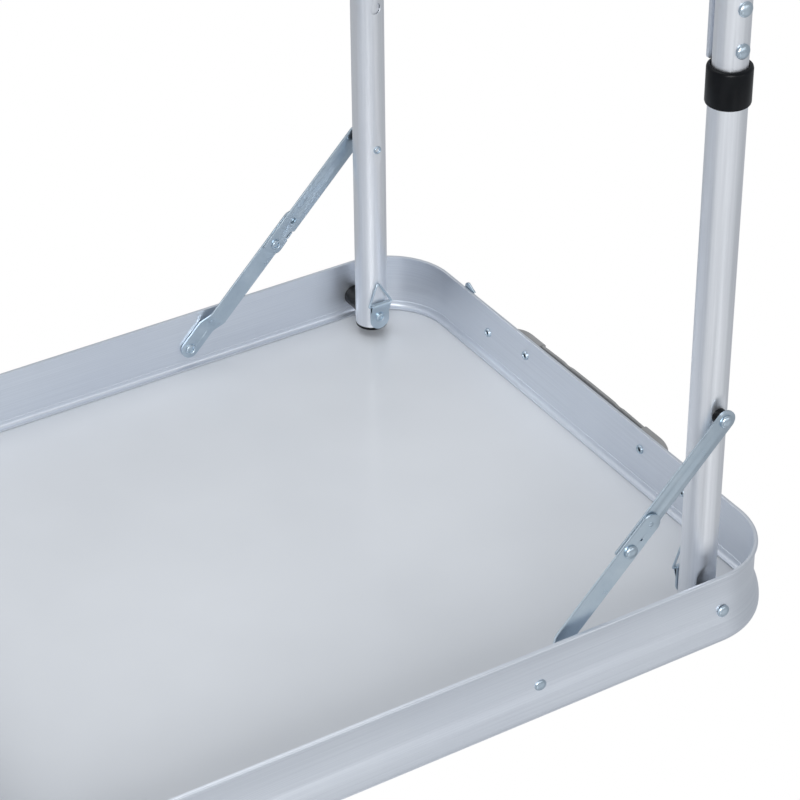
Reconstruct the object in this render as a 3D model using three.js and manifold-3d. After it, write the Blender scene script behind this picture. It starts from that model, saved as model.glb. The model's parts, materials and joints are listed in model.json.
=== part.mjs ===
// Folding picnic table: two aluminium-rimmed trays hinged in the middle like a suitcase, each with a
// pair of telescopic legs that fold flat into the tray on jointed steel braces.
// Millimetres, +Z up, the table stands on its feet at z = 0 and is centred on the Z axis.
import * as THREE from 'three';
import { mergeVertices } from 'three/addons/utils/BufferGeometryUtils.js';
import Module from 'manifold-3d';

const wasm = await Module();
wasm.setup();

// ---------------------------------------------------------------- driving dimensions
const TABLE_LENGTH = 1200;
const TABLE_WIDTH = 500;
const TABLE_HEIGHT = 550; // legs pushed in
const GAP = 0.3; // between touching pieces

const RIM_HEIGHT = 55;
const RIM_CORNER_R = 60;
const TOP_LIP = 7; // rim's top surface above the panel's underside
const WEB_OUTER = 5; // web's outer face, in from the bullnose
const WEB_INNER = 6.4;
const LIP_REACH = 10; // both lips, in from the bullnose
const RAIL_WALL = 1.4; // centre rail's thickness
const HALF_GAP = 0.4; // each half stops this far from the centre plane

const PANEL_THICKNESS = 5;
const PANEL_INSET = 7.8;

const LEG_INSET_X = 59.5; // leg axis in from the table's end
const LEG_INSET_Y = 34.5; // leg axis in from the table's side
const PIVOT_DROP = 18; // leg pivot below the panel's underside
const TUBE_R = 12.7;
const TUBE_BORE_R = 11.8;
const INNER_TUBE_R = 11.4;
const INNER_TUBE_BORE_R = 10.4;
const TUBE_SIDES = 20;
const TUBE_PAST_PIVOT = 9.2;
const LEG_TRAVEL = 100;
const BUTTON_HOLE_Z = 256;

const BRACE_REACH = 150; // leg pivot to each end of the brace
const STRAP_WIDTH = 15;
const STRAP_THICKNESS = 2;
const STRAP_TAIL = 30; // lower strap past the knee
const STRAP_CRANK = 5.6; // sideways step of the lower strap
const STRAP_WEB_GAP = 0.4; // between the lower strap's rim end and the web

const COLLAR_R = 14.7;
const COLLAR_TOP_Z = 149;
const COLLAR_BOTTOM_Z = 123;
const RIVET_R = 2.5;
const RIVET_HOLE_R = 2.9;
const RIVET_SEAT = 2.9; // rivet head underside, in from the bullnose
const SPACER_R = 7.7;

const CROSSBAR_Z = 55; // middle of the channel
const CROSSBAR_HEIGHT = 40;
const CROSSBAR_DEPTH = 14;
const CROSSBAR_WALL = 1.4;
const END_PLATE_HEIGHT = 90;
const END_PLATE_WIDTH = 16;
const END_PLATE = 2.5;

const HINGE_Y = 150;
const HINGE_WIDTH = 60;
const HINGE_LEAF = 22;
const HINGE_PLATE = 1.5;
const KNUCKLES = 5;
const KNUCKLE_R = 2.7;
const PIN_R = 1.4;

const RING_DROP_Z = 30; // ring's upper wire below the panel's underside
const RING_Y = 14; // ring's plane from the leg's axis
const RING_LENGTH = 21.5;
const RING_HALF = 10.7;
const RING_WIRE_R = 1;
const RING_CORNER_R = 1.6;

const LATCH_Y = 127;
const LATCH_DROP = 25.5;
const LATCH_SEAT = 3.2; // hook's inner face, in from the bullnose
const LATCH_REACH = 36.5; // latch pivot to the stud it hooks
const CATCH_DROP = 40;
const LATCH_PLATE = 1.5;
const PARKED_LATCH = { front: -57, rear: 90 }; // degrees from straight down

const HANDLE_DROP = 32.5; // handle's middle below the panel's underside
const HANDLE_HEIGHT = 21;
const HANDLE_STAND_OFF = 2; // strap's inner face, out from the bullnose
const HANDLE_THICKNESS = 3.5;
const CAP_INNER_Y = 66;
const CAP_OUTER_Y = 102;
const CAP_DEPTH = 11.2; // out from the web

// ---------------------------------------------------------------- derived places
const UNDERSIDE_Z = TABLE_HEIGHT - TOP_LIP;
const FREE_EDGE_DROP = RIM_HEIGHT - TOP_LIP;
const HALF_LENGTH = TABLE_LENGTH / 2;
const HALF_WIDTH = TABLE_WIDTH / 2;
const LEG_X = HALF_LENGTH - LEG_INSET_X;
const LEG_Y = HALF_WIDTH - LEG_INSET_Y;
const PIVOT_Z = UNDERSIDE_Z - PIVOT_DROP;
const BRACE_LOW_Z = PIVOT_Z - BRACE_REACH;
const STRAP_LENGTH = BRACE_REACH / Math.SQRT2;
const STRAP_END_R = STRAP_WIDTH / 2;
const LOWER_STRAP_Y = WEB_INNER - LEG_INSET_Y + STRAP_WEB_GAP;
const BUTTON_Z = BUTTON_HOLE_Z + LEG_TRAVEL;
const RING_Z = UNDERSIDE_Z - RING_DROP_Z;
const HINGE_AXIS_Z = UNDERSIDE_Z - FREE_EDGE_DROP - GAP - KNUCKLE_R;

// ---------------------------------------------------------------- materials
const metal = (color, roughness) => new THREE.MeshStandardMaterial({ color, roughness, metalness: 1 });
const plastic = (color, roughness) => new THREE.MeshStandardMaterial({ color, roughness, metalness: 0 });
const ALUMINIUM = metal(0xb9bfca, 0.45);
const TUBE = metal(0xc6cad4, 0.35);
const ZINC = metal(0x9fb2c2, 0.3);
const BOARD = plastic(0xdde0e6, 0.35);
const BLACK = plastic(0x1b1d22, 0.45);
const GREY = plastic(0x8b8a88, 0.6);

// ---------------------------------------------------------------- solids
function toSolid(geometry) {
  const bare = geometry.clone();
  bare.deleteAttribute('normal');
  bare.deleteAttribute('uv');
  const merged = mergeVertices(bare, 1e-4);
  return new wasm.Manifold(new wasm.Mesh({
    numProp: 3,
    vertProperties: new Float32Array(merged.attributes.position.array),
    triVerts: new Uint32Array(merged.index.array),
  }));
}

function toGeometry(solid) {
  const mesh = solid.getMesh();
  const geometry = new THREE.BufferGeometry();
  geometry.setAttribute('position', new THREE.BufferAttribute(mesh.vertProperties, 3));
  geometry.setIndex(new THREE.BufferAttribute(mesh.triVerts, 1));
  geometry.computeVertexNormals();
  return geometry;
}

const cut = (body, ...tools) => toGeometry(tools.reduce((s, t) => s.subtract(toSolid(t)), toSolid(body)));
const join = (...bodies) => toGeometry(bodies.map(toSolid).reduce((a, b) => a.add(b)));
const common = (a, b) => toGeometry(toSolid(a).intersect(toSolid(b)));

// The same shape on the other side of the XZ plane, its faces still pointing out.
function mirrorY(geometry) {
  const copy = mergeVertices(geometry.clone());
  copy.scale(1, -1, 1);
  copy.index.array.reverse();
  copy.computeVertexNormals();
  return copy;
}

function box(x0, x1, y0, y1, z0, z1) {
  const geometry = new THREE.BoxGeometry(x1 - x0, y1 - y0, z1 - z0);
  return geometry.translate((x0 + x1) / 2, (y0 + y1) / 2, (z0 + z1) / 2);
}

// A round bar along Y from y0 to y1.
function barY(radius, y0, y1, x, z, sides = 16) {
  const bar = new THREE.CylinderGeometry(radius, radius, y1 - y0, sides);
  return bar.translate(x, (y0 + y1) / 2, z);
}

// A solid of revolution about Z from [radius, z] points in order up the outside.
function turned(profile, sides) {
  const closed = profile.map(([r, z]) => new THREE.Vector2(r, z));
  if (profile[0][0] > 0) closed.push(closed[0].clone());
  return new THREE.LatheGeometry(closed, sides).rotateX(Math.PI / 2);
}

const outline = (points) => new THREE.Shape(points.map(([a, b]) => new THREE.Vector2(a, b)));

// A plate or bar between y0 and y1 whose shape is drawn in (x, z).
function extrudedY(shape, y0, y1, curveSegments = 6) {
  const options = { depth: y1 - y0, bevelEnabled: false, curveSegments };
  return new THREE.ExtrudeGeometry(shape, options).rotateX(Math.PI / 2).translate(0, y1, 0);
}

// A plate between x0 and x1 whose shape is drawn in (y, z).
function extrudedX(shape, x0, x1, curveSegments = 6) {
  const options = { depth: x1 - x0, bevelEnabled: false, curveSegments };
  const upright = new THREE.Matrix4().makeBasis(
    new THREE.Vector3(0, 1, 0), new THREE.Vector3(0, 0, 1), new THREE.Vector3(1, 0, 0),
  ).setPosition(x0, 0, 0);
  return new THREE.ExtrudeGeometry(shape, options).applyMatrix4(upright);
}

// A path through fixed stations, so that a sweep spends its steps only where it bends.
class StationPath extends THREE.Curve {
  constructor(stations) {
    super();
    this.stations = stations;
  }

  get steps() {
    return this.stations.length - 1;
  }

  getPointAt(u, target = new THREE.Vector3()) {
    return target.copy(this.stations[Math.round(u * this.steps)].point);
  }

  getTangentAt(u, target = new THREE.Vector3()) {
    return target.copy(this.stations[Math.round(u * this.steps)].tangent);
  }
}

// Stations along straight runs joined by arcs in a plane. corners: [centre, radius, start angle, sweep].
function roundedPath(start, end, corners, place, perCorner) {
  const stations = [];
  const add = (x, y, dx, dy) => stations.push({ point: place(x, y), tangent: place(dx, dy, true) });
  const first = corners[0];
  const turn = Math.sign(first.sweep);
  add(start[0], start[1], -Math.sin(first.from) * turn, Math.cos(first.from) * turn);
  for (const { x, y, r, from, sweep } of corners) {
    for (let i = 0; i <= perCorner; i += 1) {
      const a = from + (sweep * i) / perCorner;
      const s = Math.sign(sweep);
      add(x + r * Math.cos(a), y + r * Math.sin(a), -Math.sin(a) * s, Math.cos(a) * s);
    }
  }
  const last = corners[corners.length - 1];
  const a = last.from + last.sweep;
  add(end[0], end[1], -Math.sin(a) * turn, Math.cos(a) * turn);
  return new StationPath(stations);
}

function sweep(shape, path) {
  return new THREE.ExtrudeGeometry(shape, { steps: path.steps, extrudePath: path, bevelEnabled: false });
}

// ---------------------------------------------------------------- tray
// The rim's section as [drop below the panel's underside, distance in from the bullnose].
function rimSection() {
  const shape = outline([
    [-TOP_LIP, LIP_REACH], [-TOP_LIP, 3.4], [-6.2, 1.3], [-3.6, 0.2], [0, 0], [4.5, 0.5], [9, 1.6],
    [13.3, 3], [17, 4.3], [20.5, WEB_OUTER], [FREE_EDGE_DROP - 3, WEB_OUTER],
    [FREE_EDGE_DROP - 2, 3.8], [FREE_EDGE_DROP - 0.5, 3.5], [FREE_EDGE_DROP, 4.1],
    [FREE_EDGE_DROP, WEB_INNER], [4.4, WEB_INNER], [2.6, 7], [1.8, 8], [1.8, LIP_REACH],
    [0.3, LIP_REACH], [0.3, WEB_INNER], [-5.3, WEB_INNER], [-5.3, LIP_REACH],
  ]);
  shape.holes.push(outline([
    [-5, 3.2], [-2.5, 1.6], [1, 1.5], [6, 2.3], [11, 3.8], [14.5, 5.1], [-5, 5.1],
  ]));
  return shape;
}

function rim() {
  const quarter = Math.PI / 2;
  const far = HALF_LENGTH - RIM_CORNER_R;
  const side = HALF_WIDTH - RIM_CORNER_R;
  const corners = [
    { x: far, y: -side, r: RIM_CORNER_R, from: -quarter, sweep: quarter },
    { x: far, y: side, r: RIM_CORNER_R, from: 0, sweep: quarter },
  ];
  const place = (x, y, isDirection) => new THREE.Vector3(x, y, isDirection ? 0 : UNDERSIDE_Z);
  const path = roundedPath([HALF_GAP, -HALF_WIDTH], [HALF_GAP, HALF_WIDTH], corners, place, 7);
  const holes = [-1, 1].map((s) => barY(RIVET_HOLE_R, ...spanY(s, 2, 9), LEG_X, PIVOT_Z, 12));
  return cut(sweep(rimSection(), path), ...holes);
}

// The Y range between two distances in from the table's side, on the side with this sign.
function spanY(sign, from, to) {
  const ends = [sign * (HALF_WIDTH - from), sign * (HALF_WIDTH - to)];
  return ends.sort((a, b) => a - b);
}

// A slab of the board's outline, this far in from the rim's bullnose and starting at x0.
function boardSlab(inset, x0, z0, z1) {
  const x1 = HALF_LENGTH - inset;
  const y1 = HALF_WIDTH - inset;
  const r = RIM_CORNER_R - inset;
  const shape = new THREE.Shape();
  shape.moveTo(x0, -y1);
  shape.lineTo(x1 - r, -y1);
  shape.absarc(x1 - r, -y1 + r, r, -Math.PI / 2, 0);
  shape.absarc(x1 - r, y1 - r, r, 0, Math.PI / 2);
  shape.lineTo(x0, y1);
  const options = { depth: z1 - z0, bevelEnabled: false, curveSegments: 7 };
  return new THREE.ExtrudeGeometry(shape, options).translate(0, 0, z0);
}

// The board's edge is a little thinner where it slides under the rim's lips.
function panel() {
  const top = UNDERSIDE_Z + PANEL_THICKNESS;
  const field = LIP_REACH + 2 * GAP;
  return join(
    boardSlab(PANEL_INSET, RAIL_WALL + HALF_GAP + GAP, UNDERSIDE_Z, top - GAP),
    boardSlab(field, field, top - 2 * GAP, top),
  );
}

// The C-shaped rail that closes each tray at the middle of the table and carries the hinges.
function centreRail() {
  const wall = RAIL_WALL;
  const x0 = HALF_GAP;
  const x1 = HALF_GAP + wall;
  const top = TABLE_HEIGHT;
  const low = UNDERSIDE_Z - FREE_EDGE_DROP;
  const flange = 20;
  const lip = UNDERSIDE_Z - GAP;
  const section = outline([
    [x0, top], [LIP_REACH, top], [LIP_REACH, top - 1.7], [x1, top - 1.7], [x1, lip],
    [LIP_REACH, lip], [LIP_REACH, lip - wall], [x1, lip - wall], [x1, low + wall],
    [flange, low + wall], [flange, low], [x0, low],
  ]);
  const half = HALF_WIDTH - LIP_REACH - GAP;
  return extrudedY(section, -half, half);
}

// ---------------------------------------------------------------- centre hinges
function hingeLeaf(ownsEnds, y) {
  const z1 = UNDERSIDE_Z - FREE_EDGE_DROP - GAP;
  const z0 = z1 - HINGE_PLATE;
  const y0 = y - HINGE_WIDTH / 2;
  const pitch = HINGE_WIDTH / KNUCKLES;
  const pieces = [box(3.3, HINGE_LEAF, y0, y0 + HINGE_WIDTH, z0, z1)];
  const bores = [];
  for (let i = ownsEnds ? 0 : 1; i < KNUCKLES; i += 2) {
    const from = y0 + i * pitch + (i > 0 ? GAP / 2 : 0);
    const to = y0 + (i + 1) * pitch - (i < KNUCKLES - 1 ? GAP / 2 : 0);
    pieces.push(barY(KNUCKLE_R, from, to, 0, HINGE_AXIS_Z, 12));
    pieces.push(box(0, 4, from, to, z0, z1 - 0.02));
    bores.push(barY(PIN_R + 0.5, from - 1, to + 1, 0, HINGE_AXIS_Z, 10));
  }
  return ownsEnds ? cut(join(...pieces), ...bores) : join(...pieces, hingePin(y));
}

function hingePin(y) {
  return barY(PIN_R, y - HINGE_WIDTH / 2 - 1.5, y + HINGE_WIDTH / 2 + 1.5, 0, HINGE_AXIS_Z, 10);
}

// ---------------------------------------------------------------- legs
// Leg pieces are drawn about the leg's own axis with +Y towards the middle of the table.
const hole = (r, z, y0, y1, sides = 12) => barY(r, y0, y1, 0, z, sides);

function outerTube() {
  const z0 = COLLAR_BOTTOM_Z + 3.6;
  const z1 = PIVOT_Z + TUBE_PAST_PIVOT;
  const tube = turned([[TUBE_BORE_R, z0], [TUBE_R, z0], [TUBE_R, z1], [TUBE_BORE_R, z1]], TUBE_SIDES);
  return cut(tube, hole(RIVET_HOLE_R, PIVOT_Z, -20, 20), hole(4.6, BUTTON_HOLE_Z, 5, 20));
}

function innerTube() {
  const z0 = 3.3;
  const z1 = BUTTON_Z + 10;
  const bore = INNER_TUBE_BORE_R;
  const tube = turned([[bore, z0], [INNER_TUBE_R, z0], [INNER_TUBE_R, z1], [bore, z1]], TUBE_SIDES);
  return cut(tube, hole(4.4, BUTTON_Z, 5, 20));
}

function collar() {
  const shoulder = COLLAR_BOTTOM_Z + 3.3;
  return turned([
    [11.9, COLLAR_BOTTOM_Z], [13.9, COLLAR_BOTTOM_Z], [COLLAR_R, COLLAR_BOTTOM_Z + 0.8],
    [COLLAR_R, COLLAR_TOP_Z - 0.8], [13.9, COLLAR_TOP_Z], [13, COLLAR_TOP_Z], [13, shoulder],
    [11.9, shoulder],
  ], TUBE_SIDES);
}

function foot() {
  return turned([
    [0, 0], [11.5, 0], [13.4, 1.8], [13.4, 26], [12.6, 27.5], [11.7, 27.5], [11.7, 3], [0, 3],
  ], TUBE_SIDES);
}

// Button on a V-shaped leaf spring inside the inner tube, held down by the outer tube's wall.
function snapButton() {
  const strip = [
    [8.1, BUTTON_Z + 6], [9, BUTTON_Z + 6], [9, BUTTON_Z - 8], [0.4, BUTTON_Z - 46],
    [-8, BUTTON_Z - 8], [-8, BUTTON_Z + 6], [-7.1, BUTTON_Z + 6], [-7.1, BUTTON_Z - 8],
    [0.4, BUTTON_Z - 43.4], [8.1, BUTTON_Z - 8],
  ];
  return join(extrudedX(outline(strip), -3.5, 3.5), barY(3.9, 8.5, 11.1, 0, BUTTON_Z, 12));
}

// Channel between the two inner tubes, with a long end plate riveted to the inside of each.
function crossbar() {
  const x = CROSSBAR_DEPTH / 2;
  const z = CROSSBAR_HEIGHT / 2;
  const wall = CROSSBAR_WALL;
  const channel = outline([
    [-x, z], [x, z], [x, -z], [-x, -z], [-x, wall - z], [x - wall, wall - z], [x - wall, z - wall],
    [-x, z - wall],
  ]);
  const face = LEG_Y - INNER_TUBE_R - GAP;
  const plate = outline(stadium(END_PLATE_WIDTH / 2, END_PLATE_HEIGHT / 2, 2));
  const plateZ = COLLAR_BOTTOM_Z - GAP - END_PLATE_HEIGHT / 2;
  const plates = [-face, face - END_PLATE].map((y) => extrudedY(plate, y, y + END_PLATE));
  return join(
    extrudedY(channel, 1 - face, face - 1).translate(0, 0, CROSSBAR_Z),
    ...plates.map((end) => end.translate(0, 0, plateZ)),
  );
}

// A rounded rectangle of half sizes a and b as points, its corners turned with radius r.
function stadium(a, b, r, perCorner = 3) {
  const points = [];
  for (const [sx, sz, from] of [[1, 1, 0], [-1, 1, 1], [-1, -1, 2], [1, -1, 3]]) {
    for (let i = 0; i <= perCorner; i += 1) {
      const angle = ((from + i / perCorner) * Math.PI) / 2;
      points.push([sx * (a - r) + r * Math.cos(angle), sz * (b - r) + r * Math.sin(angle)]);
    }
  }
  return points.filter(([x, z], i) => {
    const [px, pz] = points[(i + points.length - 1) % points.length];
    return Math.hypot(x - px, z - pz) > 1e-6;
  });
}

// Rivet through the rim, spacer and tube: head outside the rim, clinched tail inside the leg.
function pivotRivet() {
  const head = LEG_INSET_Y - RIVET_SEAT;
  const tail = TUBE_R + 3.6;
  const profile = [
    [0, -head - 2.2], [2.4, -head - 1.7], [4, -head - 0.5], [4, -head], [RIVET_R, -head],
    [RIVET_R, tail], [3.7, tail], [3.7, tail + 0.8], [0, tail + 1.2],
  ];
  return turned(profile, 12).rotateX(-Math.PI / 2);
}

function pivotSpacer() {
  const y0 = -LEG_INSET_Y + WEB_INNER + 1.3; // clear of the rim's corner
  const y1 = -TUBE_R - GAP;
  return turned([[3.1, y0], [SPACER_R, y0], [SPACER_R, y1], [3.1, y1]], 16).rotateX(-Math.PI / 2);
}

// Triangle of wire that hangs in the loop of the strap on the leg's inner face.
function dRing() {
  const r = RING_CORNER_R;
  const slope = Math.atan2(RING_LENGTH, RING_HALF);
  const half = slope / 2;
  const baseX = RING_HALF - r / Math.tan(half);
  const apex = RING_LENGTH - r / Math.cos(slope);
  const corners = [
    { x: baseX, y: -r, r, from: Math.PI / 2, sweep: slope - Math.PI },
    { x: 0, y: -apex, r, from: slope - Math.PI / 2, sweep: -2 * slope },
    { x: -baseX, y: -r, r, from: -Math.PI / 2 - slope, sweep: slope - Math.PI },
  ];
  const place = (x, y) => new THREE.Vector3(x, 0, y);
  const path = roundedPath([0.4, 0], [-0.4, 0], corners, place, 3);
  const section = new THREE.Shape();
  section.absarc(0, 0, RING_WIRE_R, 0, Math.PI * 2);
  const options = { steps: path.steps, extrudePath: path, bevelEnabled: false, curveSegments: 3 };
  return new THREE.ExtrudeGeometry(section, options);
}

// ---------------------------------------------------------------- braces
// Straps are drawn along +X from their pivot, in the leg's Y, and then turned to 45 degrees.
function strapOutline(length) {
  const shape = new THREE.Shape();
  shape.absarc(0, 0, STRAP_END_R, Math.PI / 2, (3 * Math.PI) / 2);
  shape.absarc(length, 0, STRAP_END_R, -Math.PI / 2, Math.PI / 2);
  return shape;
}

// Rim end against the web, then a crank that brings the rest of the strap out to the upper strap.
function braceLower() {
  const y = LOWER_STRAP_Y;
  const out = y + STRAP_CRANK;
  const t = STRAP_THICKNESS;
  const end = STRAP_LENGTH + STRAP_TAIL;
  const side = outline([
    [-9, y], [22, y], [33, out], [end, out], [end, out + t], [32.6, out + t], [21.6, y + t], [-9, y + t],
  ]);
  const bent = new THREE.ExtrudeGeometry(side, { depth: 20, bevelEnabled: false }).translate(0, 0, -10);
  const straight = extrudedY(strapOutline(end - STRAP_END_R), y - 1, out + t + 1, 8);
  return cut(common(bent, straight), barY(RIVET_HOLE_R, y - 1, y + t + 1, 0, 0, 10));
}

function braceUpper() {
  const y0 = LOWER_STRAP_Y + STRAP_CRANK + STRAP_THICKNESS + GAP;
  const y1 = y0 + STRAP_THICKNESS;
  const plate = extrudedY(strapOutline(STRAP_LENGTH), y0, y1, 8);
  return cut(plate, barY(RIVET_HOLE_R, y0 - 1, y1 + 1, 0, 0, 10));
}

// ---------------------------------------------------------------- latches and handle
// Hook drawn hanging straight down from its pivot in the YZ plane, then extruded along X.
function latchHook() {
  const end = -LATCH_REACH;
  const shape = new THREE.Shape();
  shape.absarc(0, 0, 6, 0, Math.PI);
  shape.lineTo(-5, end - 3.5);
  shape.absarc(0, end - 3.5, 5, Math.PI, 1.75 * Math.PI);
  shape.lineTo(5, end + 2.9);
  shape.lineTo(0.5, end + 2.9);
  shape.lineTo(0.5, end + 6);
  shape.lineTo(5, end + 9);
  const pivotHole = new THREE.CylinderGeometry(2.6, 2.6, 6, 10).rotateZ(Math.PI / 2);
  return cut(extrudedX(shape, 0, LATCH_PLATE), pivotHole);
}

function catchStud() {
  const profile = [[0, 0.3], [2.4, 0.3], [2.4, 2.4], [4.2, 2.4], [4.2, 3.2], [2.6, 4], [0, 4.2]];
  return turned(profile, 12).rotateY(Math.PI / 2);
}

// End cap drawn for the rear: open towards the strap, sloping down to the web at its outer end.
function handleCap() {
  const section = outline([
    [GAP, CAP_INNER_Y], [CAP_DEPTH, CAP_INNER_Y], [CAP_DEPTH - 0.4, CAP_INNER_Y + 18],
    [CAP_DEPTH - 4, CAP_OUTER_Y - 6], [3, CAP_OUTER_Y], [GAP, CAP_OUTER_Y],
  ]);
  const height = HANDLE_HEIGHT + 1;
  const cap = new THREE.ExtrudeGeometry(section, { depth: height, bevelEnabled: false });
  return cap.translate(HALF_LENGTH - WEB_OUTER, 0, UNDERSIDE_Z - HANDLE_DROP - height / 2);
}

function handleStrap() {
  const x0 = HALF_LENGTH + HANDLE_STAND_OFF;
  const end = CAP_INNER_Y - GAP;
  const low = UNDERSIDE_Z - HANDLE_DROP - HANDLE_HEIGHT / 2;
  return box(x0, x0 + HANDLE_THICKNESS, -end, end, low, low + HANDLE_HEIGHT);
}

// ---------------------------------------------------------------- assembly
const table = new THREE.Group();

function addMesh(parent, name, geometry, material, position = [0, 0, 0], rotation = [0, 0, 0]) {
  const mesh = new THREE.Mesh(geometry, material);
  mesh.name = name;
  mesh.position.set(...position);
  mesh.rotation.set(...rotation);
  parent.add(mesh);
}

// Builds one corner's leg in a group whose +Y points to the middle of the table.
function addLeg(half, corner, sign) {
  const leg = new THREE.Group();
  leg.position.set(LEG_X, sign * LEG_Y, 0);
  half.add(leg);
  const turn = sign > 0 ? Math.PI : 0;
  const spin = [0, 0, turn];
  addMesh(leg, `outer_tube_${corner}`, outerTube(), TUBE, [0, 0, 0], spin);
  addMesh(leg, `inner_tube_${corner}`, innerTube(), TUBE, [0, 0, 0], spin);
  addMesh(leg, `collar_${corner}`, collar(), BLACK);
  addMesh(leg, `foot_${corner}`, foot(), BLACK);
  addMesh(leg, `snap_button_${corner}`, snapButton(), ZINC, [0, 0, 0], spin);
  addMesh(leg, `pivot_rivet_${corner}`, pivotRivet(), ZINC, [0, 0, PIVOT_Z], spin);
  addMesh(leg, `pivot_spacer_${corner}`, pivotSpacer(), BLACK, [0, 0, PIVOT_Z], spin);
  addMesh(leg, `d_ring_${corner}`, dRing(), ZINC, [0, -sign * RING_Y, RING_Z], spin);
  const place = (geometry) => (sign > 0 ? mirrorY(geometry) : geometry);
  const up = place(braceLower().rotateY(Math.PI / 4).translate(-BRACE_REACH, 0, PIVOT_Z));
  const down = place(braceUpper().rotateY(-3 * Math.PI / 4).translate(0, 0, BRACE_LOW_Z));
  addMesh(leg, `brace_lower_${corner}`, up, ZINC);
  addMesh(leg, `brace_upper_${corner}`, down, ZINC);
}

for (const side of ['right', 'left']) {
  const half = new THREE.Group();
  const isRight = side === 'right';
  half.rotation.z = isRight ? 0 : Math.PI;
  table.add(half);
  addMesh(half, `rim_${side}`, rim(), ALUMINIUM);
  addMesh(half, `panel_${side}`, panel(), BOARD);
  addMesh(half, `centre_rail_${side}`, centreRail(), ALUMINIUM);
  addMesh(half, `crossbar_${side}`, crossbar(), ALUMINIUM, [LEG_X, 0, 0]);
  for (const sign of [-1, 1]) {
    const corner = `${side}_${(sign < 0) === isRight ? 'front' : 'rear'}`;
    addLeg(half, corner, sign);
    addMesh(half, `hinge_leaf_${corner}`, hingeLeaf(isRight, sign * HINGE_Y), ZINC);
  }
}

for (const [name, sign] of [['front', -1], ['rear', 1]]) {
  const hookX = HALF_LENGTH - LATCH_SEAT;
  const angle = THREE.MathUtils.degToRad(PARKED_LATCH[name]);
  const hookAt = [hookX, sign * LATCH_Y, UNDERSIDE_Z - LATCH_DROP];
  const catchAt = [-HALF_LENGTH + WEB_OUTER, sign * LATCH_Y, UNDERSIDE_Z - CATCH_DROP];
  addMesh(table, `latch_hook_${name}`, latchHook(), ZINC, hookAt, [angle, 0, 0]);
  addMesh(table, `latch_stud_${name}`, catchStud(), ZINC, catchAt, [0, 0, Math.PI]);
  const cap = sign < 0 ? mirrorY(handleCap()) : handleCap();
  addMesh(table, `handle_cap_${name}`, cap, GREY);
}
addMesh(table, 'handle_strap', handleStrap(), GREY);

export default table;
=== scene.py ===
import json
from math import cos, pi, radians, sin, sqrt

import bmesh
import bpy
from mathutils import Matrix, Vector

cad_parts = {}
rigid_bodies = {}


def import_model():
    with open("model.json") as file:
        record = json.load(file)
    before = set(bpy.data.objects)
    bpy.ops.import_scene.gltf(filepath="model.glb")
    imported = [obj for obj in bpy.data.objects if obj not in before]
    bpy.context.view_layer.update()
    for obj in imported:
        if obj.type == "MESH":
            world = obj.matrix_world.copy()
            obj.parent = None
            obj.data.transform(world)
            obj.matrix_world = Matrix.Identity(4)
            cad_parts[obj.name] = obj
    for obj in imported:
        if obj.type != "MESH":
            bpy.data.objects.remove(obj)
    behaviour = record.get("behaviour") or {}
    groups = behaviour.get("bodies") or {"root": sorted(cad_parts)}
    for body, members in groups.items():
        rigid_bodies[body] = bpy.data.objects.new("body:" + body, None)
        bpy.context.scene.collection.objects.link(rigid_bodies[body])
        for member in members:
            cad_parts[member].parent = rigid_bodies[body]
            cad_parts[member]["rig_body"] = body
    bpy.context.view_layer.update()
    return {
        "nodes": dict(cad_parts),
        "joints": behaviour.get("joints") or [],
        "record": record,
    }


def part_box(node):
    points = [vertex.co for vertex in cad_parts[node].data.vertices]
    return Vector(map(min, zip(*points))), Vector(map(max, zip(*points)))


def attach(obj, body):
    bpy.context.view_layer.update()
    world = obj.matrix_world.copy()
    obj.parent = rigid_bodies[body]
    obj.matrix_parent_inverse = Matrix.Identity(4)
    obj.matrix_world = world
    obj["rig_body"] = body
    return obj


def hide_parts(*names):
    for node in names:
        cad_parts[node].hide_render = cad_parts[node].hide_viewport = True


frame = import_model()

MM = 0.001
SIDES = ("right", "left")
ENDS = ("front", "rear")

# ------------------------------------------------------------------ places, from the frame
rim_low, rim_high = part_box("rim_right")
HALF_LENGTH, HALF_WIDTH = rim_high.xy
HALF_GAP = rim_low.x
FREE_EDGE_Z = rim_low.z
UNDERSIDE_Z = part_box("panel_right")[0].z
BOARD_TOP_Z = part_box("panel_right")[1].z
BOARD_START_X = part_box("panel_right")[0].x
tube_low, tube_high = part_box("outer_tube_right_front")
LEG_X = (tube_low.x + tube_high.x) / 2
LEG_Y = -(tube_low.y + tube_high.y) / 2
TUBE_R = (tube_high.x - tube_low.x) / 2
TUBE_TOP_Z = tube_high.z
TUBE_BOTTOM_Z = tube_low.z
rivet_low, rivet_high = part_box("pivot_rivet_right_front")
PIVOT_Z = (rivet_low.z + rivet_high.z) / 2
RIM_INSET = HALF_WIDTH - LEG_Y  # leg axis in from the bullnose
collar_low, collar_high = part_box("collar_right_front")
foot_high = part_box("foot_right_front")[1]
inner_low, inner_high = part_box("inner_tube_right_front")
INNER_TUBE_R = (inner_high.x - inner_low.x) / 2
bar_low, bar_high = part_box("crossbar_right")
hinge_low, hinge_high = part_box("hinge_leaf_right_front")
ring_low, ring_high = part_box("d_ring_right_front")
strap_low, strap_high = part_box("brace_upper_right_front")

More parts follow.
